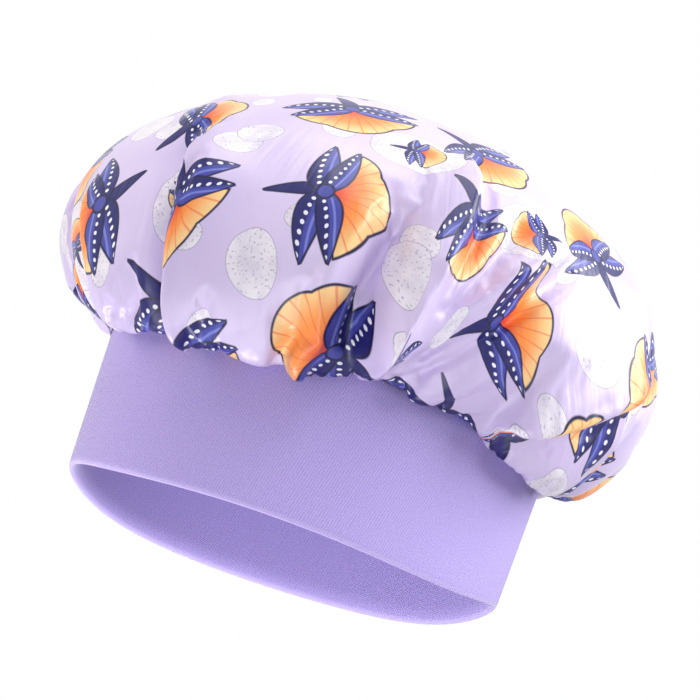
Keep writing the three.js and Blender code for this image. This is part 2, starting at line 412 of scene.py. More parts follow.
large_folds = [
    fold(7.5, 3.5, 20, (234, 0.02), (234, 0.14), (233.5, 0.24), (231, 0.31), (226, 0.42)),
    fold(-7, 6, 1.8, (231, 0.015), (230.5, 0.08), (230, 0.2), (228, 0.3)),
    fold(-6, 4, 2.5, (257, 0.02), (258, 0.07), (260, 0.11)),
    fold(6, 7, 4.5, (265, 0.08), (264, 0.14), (264, 0.22), (268, 0.36)),
    fold(-7.5, 9, 9, (271, 0.04), (269, 0.17), (271, 0.26), (274, 0.34)),
    fold(9.5, 15, 2.6, (277, 0.04), (279, 0.14), (281, 0.22), (283, 0.34), (283.5, 0.44), (281, 0.58)),
    fold(-6, 4, 7, (281.5, 0.07), (284.5, 0.15), (288, 0.25), (292, 0.34), (295, 0.42)),
    fold(9.5, 9, 3, (277, 0.06), (284, 0.16), (292, 0.26), (300, 0.34), (308, 0.42)),
    fold(-5, 2.5, 8, (281, 0.03), (289, 0.13), (296, 0.22), (302, 0.29)),
    fold(8, 11, 3.5, (306, 0.07), (314, 0.11), (322, 0.17), (329, 0.22), (334, 0.29)),
    fold(4, 12, 3, (336, 0.12), (333, 0.26), (332, 0.38), (335, 0.5)),
    fold(3.5, 3, 12, (211, 0.03), (208, 0.12), (205, 0.20), (201, 0.30)),
    fold(1.5, 5, 12, (219, 0.42), (215, 0.52), (208, 0.62)),
    fold(5.5, 4, 18, (31, 0.03), (29, 0.16), (34, 0.30), (38, 0.42)),
    fold(4.5, 14, 4, (60, 0.03), (56, 0.14), (60, 0.26)),
    fold(5.5, 4, 18, (91, 0.03), (93, 0.16), (89, 0.30), (86, 0.46)),
    fold(4.5, 15, 4, (121, 0.03), (124, 0.14), (122, 0.26)),
    fold(5, 4, 18, (152, 0.03), (149, 0.16), (151, 0.30), (156, 0.46)),
    fold(2.5, 12, 4, (181, 0.05), (184, 0.14), (181, 0.28), (178, 0.4)),
    fold(-4, 5, 5, (16, 0.02), (17, 0.12), (20, 0.3)),
    fold(-5, 5, 5, (44, 0.02), (45, 0.12), (48, 0.3)),
    fold(-4, 4, 6, (72, 0.02), (71, 0.12), (70, 0.25)),
    fold(-5, 5, 5, (101, 0.02), (100, 0.12), (100, 0.34)),
    fold(-4, 6, 4, (138, 0.02), (139, 0.12), (141, 0.26)),
    fold(-4, 5, 5, (166, 0.02), (167, 0.12), (169, 0.3)),
]
print(len(large_folds), "large folds and creases")

# %% [markdown]
# The height falls off from a fold's line: slowly on the gentle side, fast on the steep one, with a
# shallow valley at the foot of the steep side. The folds fade towards both ends, less so at the seam.
# Ridges and creases even out round the head, so the crown keeps its size.

# %% How the folds lift the crown
fold_fade = 0.25
fold_start_lift = 0.15
foot_distance = 2.6
foot_width = 2
foot_depth = 0.45


def steep_side(fold):
    return min(fold["before"], fold["after"])


def on_crown(turn, share):
    """The place on the smooth crown at a turn in degrees and a share of the way up."""
    column = (turn % 360) / 360 * crown_columns
    left = int(column) % crown_columns
    right = (left + 1) % crown_columns
    row = np.interp(share, up_share, np.arange(len(up_share)))
    low = min(int(row), len(up_share) - 2)
    edge = blend(crown_start[low], crown_start[low + 1], row - low)
    return blend(edge[left], edge[right], column - int(column))


def fold_height(fold):
    """How far one fold lifts each point of the crown."""
    turns, shares = zip(*fold["path"])
    steps = np.linspace(0, len(turns) - 1, 6 * len(turns))
    corners = np.arange(len(turns))
    line = cut_corners(np.stack([np.interp(steps, corners, turns), np.interp(steps, corners, shares)], 1), 2)
    path = np.array([on_crown(turn, share) for turn, share in line])
    gap = np.linalg.norm(crown_start[:, :, None] - path[None, None], axis=3)
    nearest = gap.argmin(2)
    distance = gap.min(2)
    way = np.gradient(path, axis=0)[nearest]
    after = np.einsum("ijk,ijk->ij", np.cross(way, crown_normals), crown_start - path[nearest]) > 0
    from_end = np.minimum(nearest, len(path) - 1 - nearest) / len(path)
    fade = smooth_step(from_end / fold_fade + fold_start_lift * (nearest < len(path) / 2))
    steep = steep_side(fold)
    width = np.where(after, fold["after"], fold["before"])
    ridge = np.exp(-((distance / width) ** 2))
    foot = np.exp(-(((distance - foot_distance * steep) / (foot_width * steep)) ** 2)) * (width == steep)
    return fold["height"] * fade * (ridge - foot_depth * foot)


large_lift = sum(fold_height(fold) for fold in large_folds)
large_lift -= large_lift.mean(1, keepdims=True)
print(f"the large folds are up to {1000 * large_lift.max():.1f} mm high")

# %% [markdown]
# ## Gathers
#
# The edge of the disc is far longer than the seam, so the cloth is pushed into many small gathers
# there. They run away from the seam and merge, two or three into one, until only the large folds are
# left. Here each gather is a narrow valley of its own length, width and slant. Many are short, a few
# are long, and the seed of the random numbers is fixed, so the bonnet is the same each time. Where the
# puff hangs over the seam, it pulls the cloth smooth, and the gathers are weak.

# %% Gathers
gather_kinds = [
    {"count": 70, "reach": 11 * MM, "depth": 1.6 * MM, "width": 2.6 * MM},
    {"count": 30, "reach": 30 * MM, "depth": 3.4 * MM, "width": 4.5 * MM},
    {"count": 13, "reach": 70 * MM, "depth": 5.4 * MM, "width": 8.5 * MM},
]
gather_seed = 11
gather_start = 4 * MM
gather_widening = 0.8
gather_sharpness = 1.6
gather_strengths = {
    196: 0.8, 210: 0.3, 252: 0.3, 262: 0.7, 284: 1, 300: 0.8, 312: 0.35, 336: 0.35, 352: 0.8,
}


def valley(radius, angles, up, turn, slant, reach, width, widening, sharpness):
    """From 0 to 1: a narrow valley that leaves the seam at a turn, leans, widens and fades."""
    away = (angles[None] - turn - slant * up / radius + np.pi) % (2 * np.pi) - np.pi
    full_width = width * (1 + widening * up / reach)
    return np.exp(-np.abs(away * radius / full_width) ** sharpness) * np.exp(-((up / reach) ** 2))


def gather_depth():
    random = np.random.default_rng(gather_seed)
    radius = np.linalg.norm(crown_start[:, :, :2], axis=2)
    up = ring_places[:, None]
    depth = np.zeros(radius.shape)
    for kind in gather_kinds:
        for number in range(kind["count"]):
            turn = (number + random.uniform(-0.3, 0.3)) * 2 * np.pi / kind["count"]
            reach = kind["reach"] * random.uniform(0.5, 1.6)
            slant = random.normal(0, 0.35)
            deep = kind["depth"] * random.uniform(0.5, 1.25)
            width = kind["width"] * random.uniform(0.8, 1.3)
            depth += deep * valley(
                radius, crown_angles, up, turn, slant, reach, width, gather_widening, gather_sharpness
            )
    depth *= round_head(gather_strengths, crown_angles)[None]
    leaving_seam = 1 - np.exp(-up / gather_start)
    return (depth - depth.mean(1, keepdims=True)) * leaving_seam


small_lift = -gather_depth()
crown_folded = crown_start + crown_normals * (large_lift + small_lift)[:, :, None]
print(f"the gathers are up to {-1000 * small_lift.min():.1f} mm deep")

# %% [markdown]
# ## Letting the cloth settle
#
# The drawn crown has the right folds, but it looks carved. Blender's cloth simulation makes it cloth:
# a negative shrink factor gives each patch more cloth than it has room for, so it buckles into soft
# folds of its own, and a light pressure from within rounds the puffs between the creases. The seam
# and the crown's very top are pinned, and no point may travel far from where it was drawn.

# %% The crown as a mesh that ends in one point at the top
def crown_faces(rows, columns):
    faces = grid_faces(rows, columns)
    last = (rows - 1) * columns
    top = rows * columns
    faces += [(last + i, last + (i + 1) % columns, top) for i in range(columns)]
    return faces


def crown_points(grid):
    return np.vstack([grid[:-1].reshape(-1, 3), grid[-1].mean(0)[None]])


def weigh(made, name, weights):
    """A vertex group whose weight follows the share of the way up the crown."""
    group = made.vertex_groups.new(name=name)
    ring_weights = np.interp(up_share[:-1], list(weights), list(weights.values()))
    for ring, weight in enumerate(ring_weights):
        first = ring * crown_columns
        group.add(list(range(first, first + crown_columns)), float(weight), "REPLACE")
    group.add([len(made.data.vertices) - 1], weights[1], "REPLACE")


# %% The simulation
cloth_frames = 22
most_travel = 9 * MM
pinned_weights = {0: 1, 0.008: 1, 0.02: 0, 0.8: 0, 0.95: 1, 1: 1}
no_growth_weights = {0: 0.1, 0.25: 0.35, 0.5: 1, 1: 1}
cloth_settings = {
    "quality": 5,
    "mass": 0.3,
    "tension_stiffness": 15,
    "compression_stiffness": 15,
    "shear_stiffness": 5,
    "bending_stiffness": 1.0,
    "vertex_group_mass": "pinned",
    "vertex_group_shrink": "no_growth",
    "shrink_min": -0.09,
    "use_pressure": True,
    "uniform_pressure_force": 20,
}


def settle(grid):
    """Runs the cloth simulation on the crown and returns how far each point travels."""
    drawn = crown_points(grid)
    made = make_object("crown_settling", drawn, crown_faces(len(grid) - 1, crown_columns))
    weigh(made, "pinned", pinned_weights)
    weigh(made, "no_growth", no_growth_weights)
    cloth = made.modifiers.new("cloth", "CLOTH")
    for name, value in cloth_settings.items():
        setattr(cloth.settings, name, value)
    cloth.settings.effector_weights.gravity = 0
    cloth.collision_settings.use_collision = False
    cloth.point_cache.frame_end = cloth_frames
    scene = bpy.context.scene
    scene.frame_end = cloth_frames
    for number in range(1, cloth_frames + 1):
        scene.frame_set(number)
    settled = made.evaluated_get(bpy.context.evaluated_depsgraph_get()).data
    points = np.zeros(len(settled.vertices) * 3, np.float32)
    settled.vertices.foreach_get("co", points)
    points = points.reshape(-1, 3).astype(float)
    scene.frame_set(1)
    bpy.data.objects.remove(made)
    travel = points - drawn
    length = np.linalg.norm(travel, axis=1, keepdims=True)
    travel = travel * np.minimum(1, most_travel / np.maximum(length, 1e-9))
    print(f"the cloth travelled {1000 * length.mean():.1f} mm, at most {1000 * length.max():.1f} mm")
    rings = travel[:-1].reshape(len(grid) - 1, crown_columns, 3)
    return np.concatenate([rings, np.repeat(travel[-1][None, None], crown_columns, 1)])


# %% [markdown]
# Of the travel, only what changes the folds is kept: its broad swelling is measured by smoothing and
# taken away again, because the crown already has its size. Cloth that hangs beside the band is moved out
# of it, as far as the band's outer face and a little more.

# %% Keeping the size, and keeping off the band
swelling_smoothing = 60
band_clearance = 1.0 * MM
hanging_margin = 0.5 * MM
least_share = 0.5


def smooth_grid(values, times):
    """Evens out a field on the crown: each point takes the mean of itself and its neighbours."""
    for _ in range(times):
        values = (np.roll(values, 1, 1) + 2 * values + np.roll(values, -1, 1)) / 4
        padded = np.concatenate([values[:1], values, values[-1:]])
        values = (padded[:-2] + 2 * values + padded[2:]) / 4
    return values


def without_swelling(travel):
    """The travel less its broad swelling, so that the crown keeps its size and only its folds change."""
    swelling = smooth_grid((travel * crown_normals).sum(2, keepdims=True), swelling_smoothing)
    return travel - swelling * crown_normals


def keep_off_band(grid, clearance):
    """Moves the hanging cloth outwards where it would lie in the band."""
    x, y, z = np.moveaxis(grid, 2, 0)
    outward = band_flare * np.clip(z / band_height, 0, 1) + clearance
    half_length = band_half_length + outward
    half_width = (band_half_width + outward) * (1 - egg_share * np.clip(x / half_length, -1, 1))
    reach = np.hypot(x / half_length, y / half_width)
    hanging = (z < band_height + hanging_margin) & (np.arange(len(grid))[:, None] > 1)
    push = np.where(hanging & (reach < 1), 1 / np.maximum(reach, least_share), 1)
    return np.stack([x * push, y * push, z], -1)


crown_settled = crown_folded
crown_settled = crown_folded + without_swelling(settle(crown_folded))
crown_settled = keep_off_band(crown_settled, band_clearance)
change = np.linalg.norm(crown_settled - crown_folded, axis=2)
print(f"settling moved the cloth by {1000 * change.mean():.1f} mm, at most {1000 * change.max():.1f} mm")

# %% [markdown]
# ## Fine gathers at the seam
#
# The simulation works on a mesh too coarse for the smallest gathers, so the settled crown is refined
# first: new points are put between the old ones on a smooth curve through their neighbours. Then the
# narrow tucks beside the seam are pressed in, each with a rolled puff on either side.

# %% Refining the crown
def between(values, closed):
    """Puts a point between each two along the first axis, on a curve through four neighbours."""
    if closed:
        before, after, beyond = np.roll(values, 1, 0), np.roll(values, -1, 0), np.roll(values, -2, 0)
    else:
        before = np.concatenate([values[:1], values[:-1]])
        after = np.concatenate([values[1:], values[-1:]])
        beyond = np.concatenate([values[2:], values[-1:], values[-1:]])
    middle = (9 * (values + after) - before - beyond) / 16
    woven = np.stack([values, middle], 1).reshape(-1, *values.shape[1:])
    return woven if closed else woven[:-1]


def refine(grid):
    more_rings = between(grid, closed=False)
    return between(more_rings.swapaxes(0, 1), closed=True).swapaxes(0, 1)


fine_places = between(ring_places, closed=False)
fine_columns = 2 * crown_columns
fine_angles = np.arange(fine_columns) * 2 * np.pi / fine_columns
crown_fine = refine(crown_settled)
print(crown_fine.shape[0], "rings and", fine_columns, "columns after refining")

# %% Fine gathers
tuck_spacing = 4.4 * MM
tuck_depth = 2.2 * MM
tuck_half_width = 0.75 * MM
tuck_reach = 9 * MM
tuck_start = 1.6 * MM
tuck_widening = 1.6
tuck_sharpness = 1.5
tuck_seed = 4


def tuck_lift(grid):
    """A lift for each point beside the seam: narrow tucks, with the cloth rounded between them."""
    random = np.random.default_rng(tuck_seed)
    radius = np.linalg.norm(grid[:, :, :2], axis=2)
    up = fine_places[:, None]
    count = round(2 * np.pi * radius[0].mean() / tuck_spacing)
    lift = np.zeros(radius.shape)
    for number in range(count):
        turn = (number + random.uniform(-0.35, 0.35)) * 2 * np.pi / count
        reach = tuck_reach * random.uniform(0.4, 1.7)
        slant = random.normal(0, 0.45)
        deep = tuck_depth * random.uniform(0.4, 1.3)
        lift -= deep * valley(
            radius, fine_angles, up, turn, slant, reach, tuck_half_width, tuck_widening, tuck_sharpness
        )
    leaving_seam = 1 - np.exp(-((up / tuck_start) ** 2))
    return lift * leaving_seam * round_head(gather_strengths, fine_angles)[None]


fine_lift = tuck_lift(crown_fine)
crown_fine = crown_fine + outward_normals(crown_fine) * fine_lift[:, :, None]
crown_fine = keep_off_band(crown_fine, band_clearance)
print(f"the tucks at the seam are up to {-1000 * fine_lift.min():.1f} mm deep")

# %% [markdown]
# ## Where the print lies
#
# The disc is far longer round its edge than the seam is, and the cloth between is hidden in the folds.
# So the print runs on undistorted over each visible panel, and jumps at the steep side of each fold, by
# the cloth that is tucked away there. Higher up, less is hidden, and it is spread over soft folds.

# %% Where each point lies round the flat disc
jump_at_seam = math.radians(1.6)
jump_high_up = math.radians(14)
jumps_end_share = 0.42
lap_width = 4 * MM
jump_past_ridge = 0.8
least_radius = 20 * MM
least_disc_radius = 1 * MM
laps = [fold for fold in large_folds if fold["height"] > 0 and steep_side(fold) <= lap_width]


def jump_turn(fold, share, radius):
    """The angle at which a fold hides its cloth, at each ring: just past the ridge, on its steep side."""
    turns, shares = zip(*fold["path"])
    ridge = np.radians(np.interp(share, shares, turns))
    side = 1 if fold["after"] < fold["before"] else -1
    return ridge + side * jump_past_ridge * steep_side(fold) / radius


def lap_turns(share, radius):
    """At each ring, the turns of the folds that lie over and hide cloth, in order round the head."""
    return np.sort([jump_turn(fold, share, radius) for fold in laps], axis=0)


def panel_turns(turns, jump_width):
    """For each point, the turn of the middle of its panel; it changes over at each lap."""
    round_turns = np.vstack([turns[-1:] - 2 * np.pi, turns, turns[:1] + 2 * np.pi])
    middles = (round_turns[:-1] + round_turns[1:]) / 2
    panel_turn = middles[0][:, None] - 2 * np.pi + np.zeros((len(jump_width), len(fine_angles)))
    for turn, jump in zip(turns, np.diff(middles, axis=0)):
        for whole_turn in (-2 * np.pi, 0, 2 * np.pi):
            past = fine_angles[None] - (turn + whole_turn)[:, None]
            panel_turn += jump[:, None] * smooth_step(past / jump_width[:, None] + 0.5)
    return panel_turn


def cloth_turns():
    """For each point of the refined crown, its angle round the flat disc."""
    share = fine_places / crown_reach
    mean_radius = np.interp(fine_places, ring_places, (ring_rows[:, 0] + ring_rows[:, 1]) / 2)
    disc_radius = np.maximum(crown_reach - fine_places, least_disc_radius)
    shown = np.minimum(mean_radius / disc_radius, 1)[:, None]
    jump_width = blend(jump_at_seam, jump_high_up, smooth_step(share / jumps_end_share))
    turns = lap_turns(share, np.maximum(mean_radius, least_radius))
    return shown * fine_angles[None] + (1 - shown) * panel_turns(turns, jump_width)


fine_turns = cloth_turns()
print(len(laps), "folds lie over and hide cloth")

# %% [markdown]
# ## The crown satin
#
# The outer cloth of the crown is one disc of printed satin, half a millimetre thick. A second grid could
# be its inner face, but a Solidify modifier makes the same thin closed shell from the refined grid, and
# keeps the thickness one value. Each point also keeps its place on the flat disc, for the print.

# %% The crown satin
satin_thickness = 0.5 * MM


def crown_cloth(name, grid, places, turns, thickness):
    made = make_object(name, crown_points(grid), crown_faces(len(grid) - 1, grid.shape[1]))
    to_middle = (crown_reach - places[:-1])[:, None]
    flat = np.stack([to_middle * np.cos(turns[:-1]), to_middle * np.sin(turns[:-1])], -1)
    store_cloth_place(made, np.vstack([flat.reshape(-1, 2), [[0, 0]]]))
    shell = made.modifiers.new("shell", "SOLIDIFY")
    shell.thickness = thickness
    shell.offset = -1
    return made


crown_satin = crown_cloth("crown_satin_gathered", crown_fine, fine_places, fine_turns, satin_thickness)
print(len(crown_satin.data.vertices), "points in the satin, before its shell")

# %% [markdown]
# ## The lining
#
# A like disc of plain satin lies inside the printed one. It is smoother, because nothing presses on it
# from outside. A copy of the satin, moved inwards, would cross itself in the tight folds. So the settled
# crown is smoothed and moved in, and then moved further wherever it still lies too near the satin.

# %% The lining
lining_thickness = 0.4 * MM
lining_gap = 2.6 * MM
least_gap = 1.7 * MM
lining_gap_start = 6 * MM
lining_smoothing = 3
lining_passes = 6


def clear_of_satin(grid, normals):
    """Moves the lining inwards where it lies too close under a point of the satin."""
    faces = crown_faces(len(grid) - 1, crown_columns)
    surface = BVHTree.FromPolygons(crown_points(grid).tolist(), faces)
    lacking = np.zeros(grid.shape[:2])
    for point in crown_fine[2:-2].reshape(-1, 3):
        place, normal, face, _ = surface.find_nearest(Vector(point))
        lack = least_gap - (Vector(point) - place).dot(normal)
        ring, column = divmod(face, crown_columns)
        if lack > 0 and 0 < ring < len(grid) - 2:
            columns = [column, (column + 1) % crown_columns]
            lacking[ring:ring + 2, columns] = np.maximum(lacking[ring:ring + 2, columns], lack)
    too_near = int((lacking > 0).sum())
    print("the lining lacks", round(1000 * lacking.max(), 2), "mm at worst, and some at", too_near, "points")
    return grid - normals * lacking[:, :, None]


def lining_grid():
    """The settled crown, smoothed and moved inwards until it is clear of the satin everywhere."""
    grid = smooth_grid(crown_settled, lining_smoothing)
    normals = smooth_grid(outward_normals(grid), lining_smoothing)
    leaving_seam = smooth_step(ring_places / lining_gap_start)[:, None, None]
    grid = grid - normals * blend(least_gap, lining_gap, leaving_seam)
    for number in range(lining_passes):
        grid = clear_of_satin(grid, normals)
        if number < lining_passes / 2:
            grid = smooth_grid(grid, 1)
    return grid


lining_turns = np.broadcast_to(crown_angles, crown_settled.shape[:2])
crown_lining = crown_cloth("crown_lining_plain", lining_grid(), ring_places, lining_turns, lining_thickness)
print(f"the lining is {1000 * lining_gap:.1f} mm inside the satin, or more under its folds")

# %% [markdown]
# ## The overlocked seam
#
# Inside the crown, the raw edges of the satin, the lining and both plies of the band stand up together.
# They are bound by overlock thread, which loops over the edge again and again, and the edge is wavy
# because it holds all the gathers. Each ply could be a piece of its own, but bound edges look like one
# soft cord. So one section goes round the seam, and leans and rises with the wave.

# %% The seam allowance
seam_top = seam_high.z
seam_inner = band_wall
seam_outer = 2.0 * MM
seam_wave = 0.5 * MM
seam_ease = 0.35 * MM
seam_base_gap = 0.2 * MM
seam_gathers = 46


def seam_edge(wave):
    """The height of the raw edges, which falls and rises with the wave of the gathers."""
    return seam_top - seam_wave * (1 - wave) / 2


def seam_section(wave):
    """Insets and heights round the bound edges, leaning with the wave of the gathers."""
    ease = seam_ease
    lean = wave * seam_wave
    base = seam_z + seam_base_gap
    top = seam_edge(wave)
    return [
        (seam_inner, base), (seam_outer, base),
        (seam_outer + lean / 2, blend(base, top, 0.5)), (seam_outer + lean, top - ease),
        (seam_outer + lean + ease, top), (seam_inner + lean - ease, top),
        (seam_inner + lean, top - ease), (seam_inner + lean / 2, blend(base, top, 0.5)),
    ]


def seam_point(angle, inset, height):
    point = band_point(np.array([angle]), np.array([band_height]), np.array([inset]))[0]
    return Vector((point[0], point[1], height))


seam_angles = np.linspace(0, 2 * np.pi, 8 * seam_gathers + 1)[:-1]
seam_rows = np.array([
    [seam_point(angle, inset, height) for inset, height in seam_section(math.sin(seam_gathers * angle))]
    for angle in seam_angles
])
seam_allowance = make_object(
    "seam_allowance_edges", seam_rows.swapaxes(0, 1), grid_faces(8, len(seam_angles), rows_close=True)
)
print("the seam allowance stands", round(1000 * (seam_top - seam_z), 1), "mm high")

# %% [markdown]
# ## Sewing threads
#
# An overlock thread loops over the raw edges once for each stitch, and lies on both faces between the
# loops. Modelled as a mesh, it would need thousands of small tubes, so it is one long curve with a round
# section. The seam that closes the band into a loop gets a zigzag of its own on the inside, at the nape,
# because only a zigzag stretches with a knit.

# %% A thread
thread_radius = 0.17 * MM


def make_thread(name, points, closed):
    """A curve with a round section through the points."""
    data = bpy.data.curves.new(name, "CURVE")
    data.dimensions = "3D"
    data.bevel_depth = thread_radius
    data.bevel_resolution = 1
    data.use_fill_caps = True
    spline = data.splines.new("POLY")
    spline.points.add(len(points) - 1)
    spline.points.foreach_set("co", np.column_stack([points, np.ones(len(points))]).ravel())
    spline.use_cyclic_u = closed
    return add_object(name, data)


# %% The overlock
stitches_in_gather = 4
loop_depth = 3.5 * MM
loop_corner = 0.35 * MM


def overlock_points():
    """Up the outer face, over the edge, down the inner face and back, once for each stitch."""
    stitches = stitches_in_gather * seam_gathers
    outer = seam_outer - thread_radius
    inner = seam_inner + thread_radius
    middle = (outer + inner) / 2
    low = -loop_depth
    high = -loop_corner
    loop = [
        (0.0, outer, low), (0.12, outer, high), (0.25, middle, thread_radius), (0.38, inner, high),
        (0.5, inner, low), (0.62, inner, high), (0.75, middle, thread_radius), (0.88, outer, high),
    ]
    points = []
    for stitch in range(stitches):
        for share, inset, drop in loop:
            angle = (stitch + share) * 2 * math.pi / stitches
            wave = math.sin(seam_gathers * angle)
            points.append(seam_point(angle, inset + wave * seam_wave, seam_edge(wave) + drop))
    return np.array(points)


overlock_thread = make_thread("overlock_thread", overlock_points(), closed=True)
print(stitches_in_gather * seam_gathers, "overlock stitches")

# %% The zigzag up the nape
zigzag_half_width = 1.4 * MM
zigzag_step = 1.3 * MM
zigzag_start = rim_rise_nape + rim_taper_height
zigzag_end = seam_z - 2 * MM


def zigzag_points():
    heights = np.arange(zigzag_start, zigzag_end, zigzag_step)
    sides = np.where(np.arange(len(heights)) % 2, 1, -1)
    angles = sides * zigzag_half_width / band_half_width
    insets = np.full(len(heights), band_wall + 0.6 * thread_radius)
    return band_point(angles, heights, insets)


zigzag = zigzag_points()
closing_seam_thread = make_thread("closing_seam_thread", zigzag, closed=False)
print(len(zigzag) - 1, "stitches up the nape")

# %% [markdown]
# ## Wiring materials
#
# Every material here is a small network of nodes. Colours are written as a paint chart gives them, from
# 0 to 255, and turned into the linear values that Blender works with.

# %% Colours
def srgb(red, green, blue):
    """A linear colour with full cover, from the values of a paint chart."""
    linear = []
    for level in (red, green, blue):
        share = level / 255
        linear.append(share / 12.92 if share <= 0.04045 else ((share + 0.055) / 1.055) ** 2.4)
    return (*linear, 1)


# %% [markdown]
# A helper with short methods keeps the networks readable: each method adds one node, feeds it, and gives
# back the socket with its result. A value fed to a socket may be a number, or another node's socket.

# %% The wiring helper
class Wiring:
    """Adds nodes to one node tree."""

    def __init__(self, tree):
        self.tree = tree

    def feed(self, socket, value):
        if isinstance(value, bpy.types.NodeSocket):
            self.tree.links.new(value, socket)
        else:
            socket.default_value = value

    def node(self, kind, *values, **settings):
        made = self.tree.nodes.new("ShaderNode" + kind)
        for name, value in settings.items():
            setattr(made, name, value)
        for socket, value in zip(made.inputs, values):
            self.feed(socket, value)
        return made

    def math(self, operation, *values):
        return self.node("Math", *values, operation=operation).outputs[0]

    def plus(self, first, second):
        return self.math("ADD", first, second)

    def minus(self, first, second):
        return self.math("SUBTRACT", first, second)

    def times(self, first, second):
        return self.math("MULTIPLY", first, second)

    def over(self, first, second):
        return self.math("DIVIDE", first, second)

    def absolute(self, value):
        return self.math("ABSOLUTE", value)

    def vector(self, operation, *values):
        made = self.node("VectorMath", *values, operation=operation)
        return made.outputs["Value" if operation in ("LENGTH", "DISTANCE") else "Vector"]

    def split(self, vector):
        return self.node("SeparateXYZ", vector).outputs[:]

    def join(self, x, y, z=0.0):
        return self.node("CombineXYZ", x, y, z).outputs[0]

    def scaled(self, vector, scale):
        made = self.node("VectorMath", vector, operation="SCALE")
        self.feed(made.inputs["Scale"], scale)
        return made.outputs["Vector"]

    def blend(self, share, low, high):
        """Goes from one colour to another; the sockets of a Mix node share names, so they are numbered."""
        made = self.node("Mix", data_type="RGBA")
        for number, value in {0: share, 6: low, 7: high}.items():
            self.feed(made.inputs[number], value)
        return made.outputs[2]

    def ease(self, value, start, end):
        """Goes softly from 0 to 1 while the value goes from start to end."""
        made = self.node("MapRange", value, start, end, interpolation_type="SMOOTHSTEP")
        return made.outputs[0]

    def noise(self, place, scale, detail=2.0):
        made = self.node("TexNoise", normalize=True)
        for name, value in {"Vector": place, "Scale": scale, "Detail": detail}.items():
            self.feed(made.inputs[name], value)
        return made.outputs[0]

    def cloth_place(self):
        """Where each point lies on the flat cloth."""
        return self.node("Attribute", attribute_name="cloth_place").outputs["Vector"]

    def turned(self, vector, angle):
        made = self.node("VectorRotate", rotation_type="Z_AXIS")
        self.feed(made.inputs["Vector"], vector)
        self.feed(made.inputs["Angle"], angle)
        return made.outputs["Vector"]

    def group(self, tree, **values):
        made = self.tree.nodes.new("ShaderNodeGroup")
        made.node_tree = tree
        for name, value in values.items():
            self.feed(made.inputs[name.replace("_", " ")], value)
        return made.outputs


# %% [markdown]
# What more than one material needs is a node group of its own, with named inputs and outputs. A material
# sets its constants on the shader's sockets, so each can be read and changed in one place.

# %% Groups, materials and surfaces
def new_group(name, inputs, outputs):
    """An empty node group; returns it with its wiring, its input sockets, and its end node."""
    tree = bpy.data.node_groups.new(name, "ShaderNodeTree")
    for socket_name, value in inputs.items():
        kind = "NodeSocketVector" if isinstance(value, tuple) else "NodeSocketFloat"
        socket = tree.interface.new_socket(socket_name, in_out="INPUT", socket_type=kind)
        socket.default_value = value
    for socket_name, kind in outputs.items():
        tree.interface.new_socket(socket_name, in_out="OUTPUT", socket_type="NodeSocket" + kind)
    start = tree.nodes.new("NodeGroupInput")
    end = tree.nodes.new("NodeGroupOutput")
    return tree, Wiring(tree), start.outputs, end.inputs


def new_material(name, roughness, **constants):
    """A material with a Principled shader whose constant values are set on the shader itself."""
    material = bpy.data.materials.new(name)
    material.use_nodes = True
    shader = material.node_tree.nodes["Principled BSDF"]
    shader.inputs["Roughness"].default_value = roughness
    for socket_name, value in constants.items():
        shader.inputs[socket_name.replace("_", " ")].default_value = value
    return material, Wiring(material.node_tree), shader


def lay_surface(w, shader, colour, height, strength, depth):
    """Feeds the shader a colour and a relief."""
    w.feed(shader.inputs["Base Color"], colour)
    relief = w.node("Bump", strength, depth)
    w.feed(relief.inputs["Height"], height)
    w.feed(shader.inputs["Normal"], relief.outputs[0])


# %% [markdown]
# ## The print's motifs
#
# The print is screen-printed in flat inks with a dark outline: indigo leaves round a fan-shaped orange
# blossom, and pale pebbles between them. Each motif is drawn by a group that says how far a place lies
# inside it, so the same value gives the fill, the outline and the shading. A leaf is a band that narrows
# to both ends, along a line that may bend.

# %% A leaf
leaf_shoulder = 0.75
leaf_fullness = 0.85


def make_leaf_group():
    inputs = {"Spot": (0.0, 0.0, 0.0), "Turn": 0.0, "Length": 1.0, "Half Width": 0.2, "Bend": 0.0}
    outputs = {"Inside": "Float", "Across": "Float", "Way": "Float"}
    tree, w, given, end = new_group("Leaf", inputs, outputs)
    x, y, _ = w.split(given["Spot"])
    sine = w.math("SINE", given["Turn"])
    cosine = w.math("COSINE", given["Turn"])
    along = w.plus(w.times(x, sine), w.times(y, cosine))
    across = w.minus(w.times(x, cosine), w.times(y, sine))
    way = w.over(along, given["Length"])
    kept = w.math("MINIMUM", w.math("MAXIMUM", way, 0.0), 1.0)
    bent = w.minus(across, w.times(given["Bend"], w.times(kept, kept)))
    swell = w.math("SINE", w.times(w.math("POWER", kept, leaf_shoulder), math.pi))
    fullness = w.math("POWER", w.math("MAXIMUM", swell, 0.0), leaf_fullness)
    half_width = w.times(given["Half Width"], fullness)
    beyond = w.times(w.absolute(w.minus(way, kept)), given["Length"])
    inside = w.minus(half_width, w.absolute(bent))
    w.feed(end["Inside"], w.minus(inside, beyond))
    w.feed(end["Across"], w.over(bent, given["Half Width"]))
    w.feed(end["Way"], way)
    return tree


leaf_group = make_leaf_group()
print(len(leaf_group.nodes), "nodes in the leaf")

# %% [markdown]
# A blossom is a fan: a sector round its base, with a scalloped edge and ribs that run out from the base.

# %% A fan blossom
fan_half_angle = 1.2
fan_scallops = 5
scallop_depth = 0.1
ribs_in_scallop = 2.5


